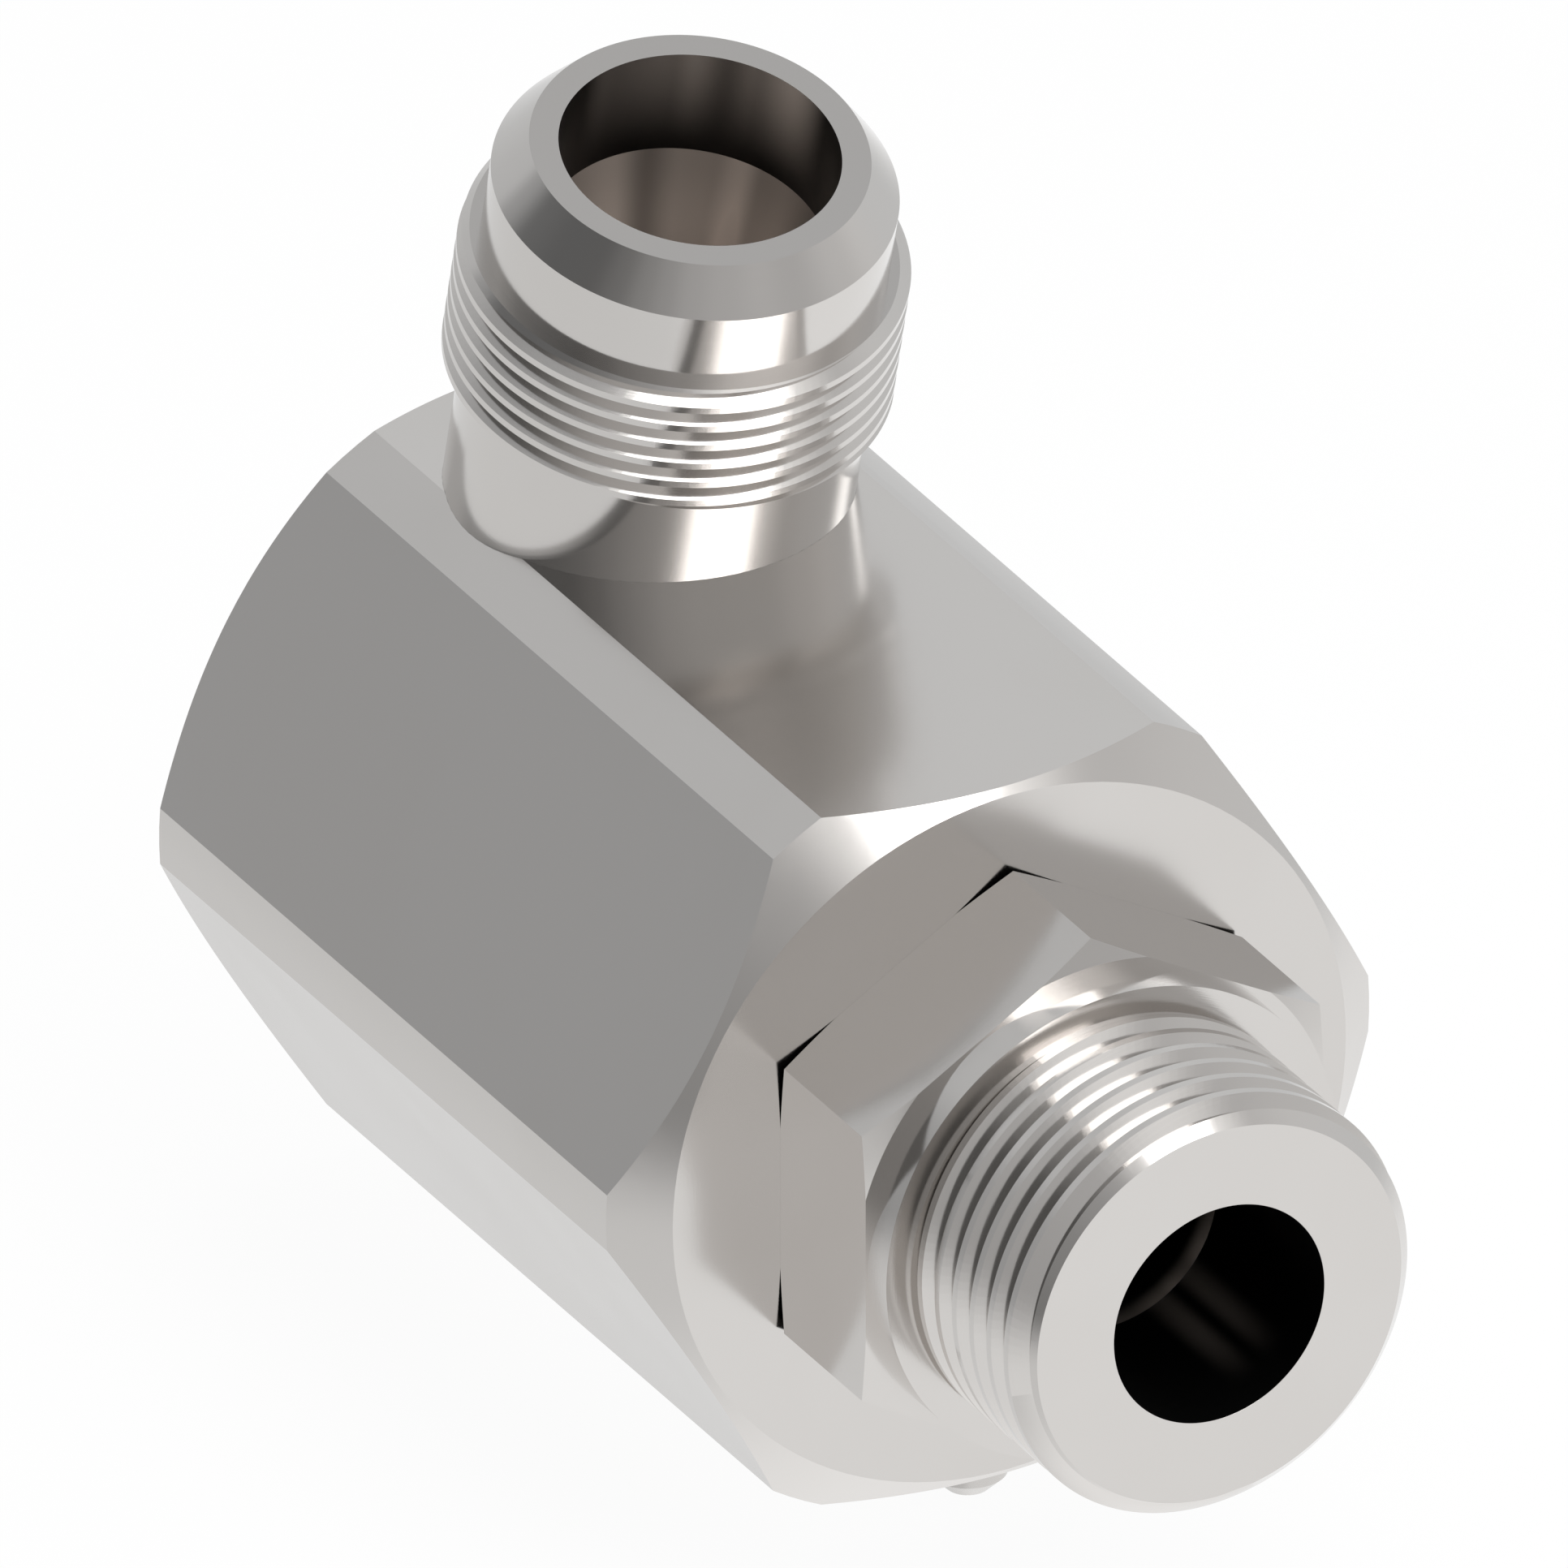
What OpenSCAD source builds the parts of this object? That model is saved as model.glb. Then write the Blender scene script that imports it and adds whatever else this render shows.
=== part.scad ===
// Hydraulic live swivel fitting. A hexagon body with a tilted 37 degree flare port carries a
// hollow stem that turns on two rows of balls, with its seals behind them.
// Origin: centre of the stem's end face. +X runs along the swivel axis, out of the stem,
// and +Z is the outward normal of the body flat that carries the port.

/* [Body] */
// Width across the flats of the body hexagon
body_flats = 57.15; // [54:0.05:64]
// Diameter that the hexagon's corners are turned down to
body_turned_d = 63.5; // [60.5:0.1:66]
// Length of the body along the swivel axis
body_len = 70.65; // [67:0.05:90]
// Diameter of the flat end faces of the body
body_face_d = 56; // [50:0.1:57]
// Axial length of the turned end chamfers
body_chamfer_len = 3.13; // [1:0.01:6]
// Diameter of the flow chamber behind the stem
chamber_d = 24; // [21:0.5:27]
// Thickness of the wall behind the flow chamber
back_wall = 4; // [3:0.1:5]
// Chamfer around the floor of the flow chamber
chamber_chamfer = 1.2; // [0.2:0.1:3]
// Chamfer at the mouth of the stem bore
mouth_chamfer = 0.4; // [0.1:0.05:0.6]

/* [Stem] */
// Outside diameter of the stem thread
stem_thread_d = 33.3; // [30:0.1:36]
// Distance from one thread crest to the next on the stem
stem_pitch = 2.49; // [2:0.01:3]
// Width of the flat crests of the stem thread
stem_crest = 0.66; // [0.3:0.01:1]
// Distance of the first thread groove from the stem's end face
stem_first_groove = 0.37; // [0.2:0.01:2]
// Chamfer at the end of the stem thread
stem_end_chamfer = 1.5; // [0.5:0.05:2]
// Length from the end face to the collar's face
stem_thread_len = 15.15; // [12:0.05:20]
// Step from the hexagon's flats down to the round collar in front of it
collar_step = 0.1; // [0.05:0.05:1.5]
// Length of the collar
collar_len = 2.8; // [1:0.01:5]
// Width of the thrust shoulder, from the shank out to the hexagon's flats
thrust_shoulder = 3.05; // [2:0.05:5]
// Length of the stem hexagon
stem_hex_len = 12.25; // [8:0.01:16]
// How far the hexagon's round end faces reach past its flats
hex_face_step = 0.9; // [0.1:0.05:2]
// Axial length of the corner chamfers of the stem hexagon
stem_hex_chamfer = 0.55; // [0.2:0.05:1.5]
// Running gap between the stem hexagon and the body
thrust_gap = 0.05; // [0.05:0.05:0.5]
// Diameter of the stem bore at its mouth
stem_bore_d = 17.5; // [14:0.1:20]
// Length of the wider bore at the mouth
stem_bore_len = 15.5; // [10:0.1:25]
// Diameter of the narrow flow bore
flow_d = 16; // [12:0.1:17]
// Length of the taper between the stem's two bores
stem_taper_len = 5; // [1:0.5:8]
// Diameter of the stem shank inside the body
shank_d = 32; // [30.5:0.1:33]
// Length of the shank, from the hexagon to its inner end
shank_len = 44.3; // [43.8:0.1:48]
// Chamfer on the inner end of the shank
shank_chamfer = 0.8; // [0.2:0.1:1]

/* [Port] */
// Lean of the port towards the stem
port_tilt = 13.28; // [0:0.01:18]
// Distance from the body's back face to where the port axis meets the swivel axis
port_inset = 12.1; // [11.5:0.1:20]
// Length from the swivel axis to the port's nose, along the port axis
port_reach = 61.06; // [55:0.01:75]
// Outside diameter of the port thread
port_thread_d = 32.9; // [31.5:0.1:36]
// Distance from one thread crest to the next on the port
port_pitch = 1.79; // [1.4:0.01:2.2]
// Width of the flat crests of the port thread
port_crest = 0.57; // [0.3:0.01:0.8]
// Length of the port thread
port_thread_len = 11.47; // [8:0.01:14]
// Distance of the thread's shoulder from the nose
port_shoulder = 9.12; // [7:0.01:12]
// Chamfer on the thread's shoulder
shoulder_chamfer = 0.75; // [0.2:0.05:1.5]
// Step from the thread's crests down to the plain neck on both sides of it
port_neck_step = 1.61; // [1.2:0.01:3]
// Radial width of the flare seat, from the neck down to the nose's flat face
flare_width = 2.41; // [1:0.01:3]
// Angle of the flare seat to the port axis
flare_angle = 37; // [30:1:45]
// Diameter of the port's mouth
port_bore_d = 20.6; // [18:0.1:22]
// Depth of the port's mouth
port_bore_len = 9.06; // [5:0.01:15]
// Diameter of the port's inner bore
port_flow_d = 17.5; // [12:0.1:18]
// Length of the taper between the port's two bores
port_taper_len = 8.5; // [3:0.1:12]
// Depth of the port's socket, below the flat of the body
socket_depth = 5.3; // [3:0.1:6]

/* [Bearing] */
// Diameter of the bearing balls
ball_d = 5.556; // [4.5:0.001:5.8]
// Balls in each row
ball_count = 17; // [8:1:17]
// Distance of the front ball row behind the body's face
front_row = 6; // [5.9:0.1:7]
// Distance between the two ball rows
row_spacing = 12; // [8:0.1:12.5]
// Diameter of the plugs that close the ball holes
plug_d = 5.85; // [5.8:0.05:8]
// Height of the plugs above the body's flat
plug_height = 3.7; // [1:0.05:6]
// Chamfer on the outer end of the plugs
plug_chamfer = 1.28; // [0.3:0.02:1.8]

/* [Seals] */
// Section of the wiper ring at the body's mouth
wiper_section = 1.5; // [1:0.05:1.8]
// Distance of the wiper groove behind the body's face
wiper_inset = 0.7; // [0.6:0.05:0.8]
// Section of the grease seal behind the balls
grease_section = 1.5; // [1:0.05:1.8]
// Distance of the grease seal's groove behind the rear ball groove
grease_inset = 1; // [0.5:0.1:1.2]
// Section of the pressure seal
pressure_section = 2.62; // [2:0.02:3]
// Width of each backup ring
backup_w = 1.4; // [1:0.05:1.8]
// Width of the guide rings
guide_w = 3.9; // [3:0.1:4.2]
// Thickness of the guide rings
guide_t = 1.5; // [1:0.05:2]
// Width of the slit in the split rings
ring_slit = 0.8; // [0.3:0.05:2]
// Land between two grooves on the shank
groove_land = 1.5; // [1:0.05:1.6]

/* [Clearances] */
// Radial clearance between the shank and the body's bore
shank_gap = 0.08; // [0.03:0.01:0.1]
// Clearance between a ball and its groove
race_gap = 0.1; // [0.05:0.01:0.2]
// Clearance between a seal and the face that slides on it
seal_gap = 0.05; // [0.03:0.01:0.1]
// Clearance of a ring in its groove, on each side
ring_gap = 0.08; // [0.04:0.01:0.2]
// Clearance around a brazed or driven joint
joint_gap = 0.03; // [0.01:0.01:0.1]
// Gap between the shank's inner end and the bore's floor
end_gap = 0.7; // [0.4:0.1:2]

/* [Hidden] */
$fn = 96;

// Places along X, all behind the stem's end face
collar_x = -stem_thread_len;
hex_front_x = collar_x - collar_len;
hex_rear_x = hex_front_x - stem_hex_len;
body_front_x = hex_rear_x - thrust_gap;
body_back_x = body_front_x - body_len;
shank_end_x = hex_rear_x - shank_len;
bore_floor_x = shank_end_x - end_gap;
front_row_x = body_front_x - front_row;
rear_row_x = front_row_x - row_spacing;

// How far a cut runs past the face that it opens
over = 0.5;

// Widths that follow the shank and the port's thread
stem_flats = shank_d + 2 * thrust_shoulder;
collar_d = stem_flats - 2 * collar_step;
port_neck_d = port_thread_d - 2 * port_neck_step;
port_nose_d = port_neck_d - 2 * flare_width;

// Radii of the bearing and its parts
shank_r = shank_d / 2;
bore_r = shank_r + shank_gap;
ball_circle_r = shank_r + shank_gap / 2;
race_r = ball_d / 2 + race_gap;
seal_r = bore_r - seal_gap;

// Grooves in the shank, front edge and width
grease_w = grease_section + 2 * ring_gap;
grease_front_x = rear_row_x - race_r - grease_inset;
guide_groove_w = guide_w + 2 * ring_gap;
front_guide_x = grease_front_x - grease_w - groove_land;
pressure_w = pressure_section + 2 * backup_w + 4 * ring_gap;
pressure_front_x = front_guide_x - guide_groove_w - groove_land;
rear_guide_x = pressure_front_x - pressure_w - groove_land;
wiper_w = wiper_section + 2 * ring_gap;
wiper_front_x = body_front_x - wiper_inset;

// Thread grooves are V cuts of 60 degrees between flat crests
thread_half_angle = 30;
port_foot_x = body_back_x + port_inset;
chamber_floor_x = body_back_x + back_wall;
function v_depth(pitch, crest) = (pitch - crest) / 2 / tan(thread_half_angle);

// Port places along its own axis
port_thread_end = port_reach - port_shoulder - port_thread_len;
socket_floor = body_flats / 2 - socket_depth;
port_hole_z = 3;
nose_cone_len = flare_width / tan(flare_angle);

// A solid turned about the X axis from points of [radius, x]
module turned(points) {
    rotate([0, 90, 0]) rotate_extrude() polygon(points);
}

// A straight round bar or hole along X, from x0 forwards
module bar(r, x0, len) {
    translate([x0, 0, 0]) rotate([0, 90, 0]) cylinder(r = r, h = len);
}

// A ring of rectangular section about X, with its front face at x
module square_ring(inner_r, outer_r, x, w) {
    turned([[inner_r, x - w], [outer_r, x - w], [outer_r, x], [inner_r, x]]);
}

// A ring of round section about X
module round_ring(circle_r, section_r, x) {
    translate([x, 0, 0]) rotate([0, 90, 0])
        rotate_extrude() translate([circle_r, 0]) circle(r = section_r, $fn = 48);
}

// A hexagonal bar about X, with its flats turned by angle from the Y direction
module hex_bar(flats, x0, len, angle) {
    translate([x0, 0, 0]) rotate([0, 90, 0]) rotate([0, 0, angle])
        cylinder(r = flats / 2 / cos(30), h = len, $fn = 6);
}

// The ring cuts of one thread, along the turning axis Z, first groove mouth at z = 0
module thread_cuts(r, pitch, crest, count) {
    depth = v_depth(pitch, crest);
    mouth = (pitch - crest) / 2;
    rotate_extrude()
        for (i = [0 : count - 1])
            translate([0, -i * pitch])
                polygon([[r - depth, -mouth], [r + over, over * tan(thread_half_angle)],
                         [r + over, -2 * mouth - over * tan(thread_half_angle)]]);
}

// Places its children with Z along the port axis and the origin at the port's foot
module on_port() {
    translate([port_foot_x, 0, 0]) rotate([0, port_tilt, 0]) rotate([0, 0, 60]) children();
}

// The round blank that trims the body's hexagon and its ends
module body_blank() {
    face_r = body_face_d / 2;
    full_r = body_turned_d / 2;
    turned([[0, body_back_x], [face_r, body_back_x], [full_r, body_back_x + body_chamfer_len],
            [full_r, body_front_x - body_chamfer_len], [face_r, body_front_x],
            [0, body_front_x]]);
}

// The stem bore and the flow chamber behind it, as one turned cut
module body_bore() {
    chamber_r = chamber_d / 2;
    turned([[0, chamber_floor_x], [chamber_r - chamber_chamfer, chamber_floor_x],
            [chamber_r, chamber_floor_x + chamber_chamfer],
            [chamber_r, bore_floor_x], [bore_r, bore_floor_x],
            [bore_r, body_front_x - mouth_chamfer],
            [bore_r + mouth_chamfer, body_front_x],
            [bore_r + mouth_chamfer, body_front_x + over], [0, body_front_x + over]]);
}

// The hole that a ball row is filled through, in the underside
module ball_hole(x) {
    outer_z = body_turned_d / 2 + over;
    translate([x, 0, -outer_z]) cylinder(d = plug_d + 2 * joint_gap, h = outer_z - bore_r + over);
}

module housing() {
    color([0.74, 0.73, 0.72]) difference() {
        intersection() {
            hex_bar(body_flats, body_back_x, body_len, 30);
            body_blank();
        }
        body_bore();
        for (x = [front_row_x, rear_row_x]) {
            round_ring(ball_circle_r, race_r, x);
            ball_hole(x);
        }
        square_ring(bore_r - over, bore_r + wiper_section + ring_gap, wiper_front_x, wiper_w);
        on_port() {
            translate([0, 0, socket_floor])
                cylinder(d = port_neck_d + 2 * joint_gap, h = port_reach - socket_floor);
            translate([0, 0, port_hole_z])
                cylinder(d = port_flow_d, h = socket_floor + over - port_hole_z);
        }
    }
}

// The brazed-in stub with the male 37 degree flare end
module port_adapter() {
    neck_r = port_neck_d / 2;
    thread_r = port_thread_d / 2;
    nose_r = port_nose_d / 2;
    bore_r0 = port_bore_d / 2;
    flow_r = port_flow_d / 2;
    seat_z = socket_floor + joint_gap;
    shoulder_z = port_reach - port_shoulder;
    groove_count = floor((port_thread_len - shoulder_chamfer) / port_pitch);
    color([0.74, 0.73, 0.72]) on_port() difference() {
        rotate_extrude() polygon([
            [flow_r, seat_z], [neck_r, seat_z], [neck_r, port_thread_end],
            [thread_r, port_thread_end], [thread_r, shoulder_z - shoulder_chamfer],
            [thread_r - shoulder_chamfer, shoulder_z], [neck_r, shoulder_z],
            [neck_r, port_reach - nose_cone_len], [nose_r, port_reach],
            [bore_r0, port_reach], [bore_r0, port_reach - port_bore_len],
            [flow_r, port_reach - port_bore_len - port_taper_len]]);
        translate([0, 0, shoulder_z - shoulder_chamfer])
            thread_cuts(thread_r, port_pitch, port_crest, groove_count);
    }
}

// A plug that closes a ball hole and carries the race across its inner end
module ball_plug(x) {
    r = plug_d / 2;
    outer_z = body_flats / 2 + plug_height;
    color([0.7, 0.69, 0.68]) difference() {
        translate([x, 0, -outer_z]) union() {
            cylinder(r1 = r - plug_chamfer, r2 = r, h = plug_chamfer);
            translate([0, 0, plug_chamfer]) cylinder(r = r, h = outer_z - plug_chamfer - bore_r);
        }
        round_ring(ball_circle_r, race_r, x);
        bar(bore_r, x - plug_d, 2 * plug_d);
    }
}

module front_ball_plug() { ball_plug(front_row_x); }

module rear_ball_plug() { ball_plug(rear_row_x); }

module wiper_ring() {
    section_r = wiper_section / 2;
    color([0.1, 0.1, 0.1])
        round_ring(bore_r + section_r, section_r, wiper_front_x - wiper_w / 2);
}

// A groove in the shank for a ring of the given thickness, with its front edge at x
module ring_groove(thickness, x, w) {
    square_ring(seal_r - thickness - joint_gap, shank_r + over, x, w);
}

// The outside of the stem, from its end face to the inner end of the shank
module stem_outline() {
    thread_r = stem_thread_d / 2;
    bore_r0 = stem_bore_d / 2;
    flow_r = flow_d / 2;
    turned([
        [bore_r0, 0], [thread_r - stem_end_chamfer, 0], [thread_r, -stem_end_chamfer],
        [thread_r, collar_x], [collar_d / 2, collar_x], [collar_d / 2, hex_front_x],
        [shank_r, hex_front_x], [shank_r, shank_end_x + shank_chamfer],
        [shank_r - shank_chamfer, shank_end_x], [flow_r, shank_end_x],
        [flow_r, -stem_bore_len - stem_taper_len], [bore_r0, -stem_bore_len]]);
}

// The stem's hexagon with its chamfered corners, bored for the shank
module stem_hexagon() {
    face_r = stem_flats / 2 + hex_face_step;
    corner_r = stem_flats / 2 / cos(30);
    chamfer_run = stem_hex_chamfer * (1 + over / (corner_r - face_r));
    difference() {
        intersection() {
            hex_bar(stem_flats, hex_rear_x, stem_hex_len, 0);
            turned([[0, hex_rear_x], [face_r, hex_rear_x],
                    [corner_r, hex_rear_x + stem_hex_chamfer],
                    [corner_r + over, hex_rear_x + chamfer_run],
                    [corner_r + over, hex_front_x - chamfer_run],
                    [corner_r, hex_front_x - stem_hex_chamfer], [face_r, hex_front_x],
                    [0, hex_front_x]]);
        }
        bar(shank_r - over, hex_rear_x - over, stem_hex_len + 2 * over);
    }
}

module stem() {
    thread_r = stem_thread_d / 2;
    groove_count = floor((stem_thread_len - stem_first_groove + stem_crest) / stem_pitch);
    color([0.76, 0.75, 0.74]) difference() {
        union() {
            stem_outline();
            stem_hexagon();
        }
        translate([-stem_first_groove, 0, 0]) rotate([0, 90, 0])
            thread_cuts(thread_r, stem_pitch, stem_crest, groove_count);
        for (x = [front_row_x, rear_row_x]) round_ring(ball_circle_r, race_r, x);
        ring_groove(grease_section, grease_front_x, grease_w);
        ring_groove(pressure_section, pressure_front_x, pressure_w);
        for (x = [front_guide_x, rear_guide_x]) ring_groove(guide_t, x, guide_groove_w);
    }
}

module grease_seal() {
    section_r = grease_section / 2;
    color([0.1, 0.1, 0.1])
        round_ring(seal_r - section_r, section_r, grease_front_x - grease_w / 2);
}

module pressure_seal() {
    section_r = pressure_section / 2;
    color([0.1, 0.1, 0.1])
        round_ring(seal_r - section_r, section_r, pressure_front_x - pressure_w / 2);
}

// A split ring of rectangular section in a groove of the shank
module split_ring(inner_r, x, w) {
    difference() {
        square_ring(inner_r, seal_r, x, w);
        translate([x - w - 1, -ring_slit / 2, 0]) cube([w + 2, ring_slit, shank_d]);
    }
}

module backup_ring(x) {
    color([0.93, 0.92, 0.88]) split_ring(seal_r - pressure_section, x, backup_w);
}

module front_backup_ring() { backup_ring(pressure_front_x - ring_gap); }

module rear_backup_ring() {
    backup_ring(pressure_front_x - pressure_w + ring_gap + backup_w);
}

module guide_ring(x) {
    color([0.35, 0.42, 0.36]) split_ring(seal_r - guide_t, x - ring_gap, guide_w);
}

module front_guide_ring() { guide_ring(front_guide_x); }

module rear_guide_ring() { guide_ring(rear_guide_x); }

// A full row of balls in the races
module ball_row(x) {
    color([0.85, 0.85, 0.86])
        for (i = [0 : ball_count - 1])
            rotate([i * 360 / ball_count, 0, 0])
                translate([x, 0, ball_circle_r]) sphere(d = ball_d, $fn = 32);
}

module front_balls() { ball_row(front_row_x); }

module rear_balls() { ball_row(rear_row_x); }

housing();
port_adapter();
front_ball_plug();
rear_ball_plug();
wiper_ring();
stem();
grease_seal();
pressure_seal();
front_backup_ring();
rear_backup_ring();
front_guide_ring();
rear_guide_ring();
front_balls();
rear_balls();
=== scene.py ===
"""A hydraulic live swivel fitting in polished steel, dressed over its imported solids.

The body, its ball plugs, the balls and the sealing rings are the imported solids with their
finishes. The stem and the flare-end port are modelled again here with true helical threads.
All sizes in the classes are millimetres in the part's own frame: +X runs along the swivel
axis out of the stem and +Z is the normal of the body flat that carries the port.
"""

import logging
import math
from dataclasses import dataclass, field
from enum import Enum

import bmesh
import bpy
from mathutils import Euler, Matrix, Vector


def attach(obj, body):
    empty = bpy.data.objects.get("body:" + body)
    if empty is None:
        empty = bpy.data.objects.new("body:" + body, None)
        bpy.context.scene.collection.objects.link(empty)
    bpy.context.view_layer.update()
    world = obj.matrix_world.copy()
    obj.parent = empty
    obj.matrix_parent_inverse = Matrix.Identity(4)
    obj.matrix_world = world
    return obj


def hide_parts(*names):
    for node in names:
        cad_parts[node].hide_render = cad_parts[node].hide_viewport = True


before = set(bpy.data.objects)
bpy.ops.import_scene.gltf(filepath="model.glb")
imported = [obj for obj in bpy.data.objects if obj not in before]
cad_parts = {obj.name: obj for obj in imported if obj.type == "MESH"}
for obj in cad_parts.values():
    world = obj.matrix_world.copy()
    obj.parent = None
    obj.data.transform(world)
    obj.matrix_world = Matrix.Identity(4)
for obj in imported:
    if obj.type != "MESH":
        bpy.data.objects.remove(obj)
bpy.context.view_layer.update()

LOG = logging.getLogger("swivel_fitting")
MM = 0.001
TO_MM = (1 / MM, 1 / MM, 1 / MM)
STEPS_PER_TURN = 144

# How far a bore's painted shade reaches past its radius and how far behind its mouth it begins, in mm
BORE_REACH = 0.04
BORE_START = 0.005

Point = tuple[float, float]
Triple = tuple[float, float, float]
Colour = tuple[float, float, float]


class Marks(Enum):
    """The direction in which a tool or belt left its fine lines."""

    STRAIGHT = "straight"
    LATHE = "lathe"


class NodeBoard:
    """Places and joins nodes in one node tree."""

    def __init__(self, tree: bpy.types.NodeTree) -> None:
        """Keeps the tree and clears it."""
        self.tree = tree
        self.tree.nodes.clear()
        self.column = 0

    def add(self, kind: str, settings: dict | None = None, **inputs: object) -> bpy.types.Node:
        """Adds a node, sets its properties and fills or joins its inputs.

        Args:
            kind: the node's class name.
            settings: properties to set before the sockets are filled.
            inputs: socket values by name, with blanks written as underscores, or i0, i1 for
                a socket by number. A socket is joined, and any other value is set.

        Returns:
            The new node.
        """
        node = self.tree.nodes.new(kind)
        node.location = (self.column * 190, 0)
        self.column += 1
        for name, value in (settings or {}).items():
            setattr(node, name, value)
        for name, value in inputs.items():
            if name[0] == "i" and name[1:].isdigit():
                socket = node.inputs[int(name[1:])]
            else:
                socket = node.inputs[name.replace("_", " ")]
            if isinstance(value, bpy.types.NodeSocket):
                self.tree.links.new(value, socket)
            else:
                socket.default_value = value
        return node

    def math(self, operation: str, *values: object) -> bpy.types.NodeSocket:
        """Adds a math node and returns its result.

        Args:
            operation: the math operation.
            values: numbers or sockets, in order.

        Returns:
            The value socket.
        """
        inputs = {f"i{i}": v for i, v in enumerate(values)}
        return self.add("ShaderNodeMath", {"operation": operation}, **inputs).outputs[0]

    def vector(self, operation: str, *values: object, out: int = 0) -> bpy.types.NodeSocket:
        """Adds a vector math node and returns one of its results.

        Args:
            operation: the vector operation.
            values: vectors or sockets, in order.
            out: 0 for the vector result and 1 for the number.

        Returns:
            The socket asked for.
        """
        inputs = {f"i{i}": v for i, v in enumerate(values)}
        return self.add("ShaderNodeVectorMath", {"operation": operation}, **inputs).outputs[out]

    def ramp(self, value: object, low: object, high: object, at_low: object,
             at_high: object) -> bpy.types.NodeSocket:
        """Eases a value from one range into another.

        Args:
            value: the number to map.
            low: where the range begins.
            high: where the range ends.
            at_low: the result at its beginning.
            at_high: the result at its end.

        Returns:
            The eased value.
        """
        node = self.add("ShaderNodeMapRange", {"interpolation_type": "SMOOTHSTEP"})
        for slot, part in zip(range(5), (value, low, high, at_low, at_high)):
            if isinstance(part, bpy.types.NodeSocket):
                self.tree.links.new(part, node.inputs[slot])
            else:
                node.inputs[slot].default_value = part
        return node.outputs[0]

    def profile(self, value: bpy.types.NodeSocket, levels: tuple[Point, ...]
                ) -> bpy.types.NodeSocket:
        """Reads a grey level from a row of stops.

        Args:
            value: the place along the row, from 0 to 1.
            levels: the place and the level of each stop, in order.

        Returns:
            The level.
        """
        node = self.add("ShaderNodeValToRGB", {}, Fac=value)
        node.color_ramp.interpolation = "EASE"
        stops = node.color_ramp.elements
        stops[0].position, stops[1].position = levels[0][0], levels[-1][0]
        for place, _ in levels[1:-1]:
            stops.new(place)
        for stop, (_, level) in zip(stops, levels):
            stop.color = (level, level, level, 1.0)
        return node.outputs[0]

    def mix_value(self, share: bpy.types.NodeSocket, first: object, second: object
                  ) -> bpy.types.NodeSocket:
        """Mixes two numbers.

        Args:
            share: 0 for the first and 1 for the second.
            first: a number or socket.
            second: a number or socket.

        Returns:
            The mixed number.
        """
        return self.add("ShaderNodeMix", {"data_type": "FLOAT"}, Factor=share, i2=first,
                        i3=second).outputs[0]

    def mix_colour(self, share: bpy.types.NodeSocket, first: object, second: object
                   ) -> bpy.types.NodeSocket:
        """Mixes two colours.

        Args:
            share: 0 for the first and 1 for the second.
            first: a colour with its alpha, or a socket.
            second: a colour with its alpha, or a socket.

        Returns:
            The mixed colour.
        """
        return self.add("ShaderNodeMix", {"data_type": "RGBA"}, Factor=share, i6=first,
                        i7=second).outputs[2]

    def radius_about_x(self, parts: bpy.types.Node) -> bpy.types.NodeSocket:
        """Works out how far a place lies from the X axis.

        Args:
            parts: the node that separates the place into x, y and z.

        Returns:
            The distance.
        """
        square_y = self.math("MULTIPLY", parts.outputs[1], parts.outputs[1])
        square_z = self.math("MULTIPLY", parts.outputs[2], parts.outputs[2])
        return self.math("SQRT", self.math("ADD", square_y, square_z))


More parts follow.
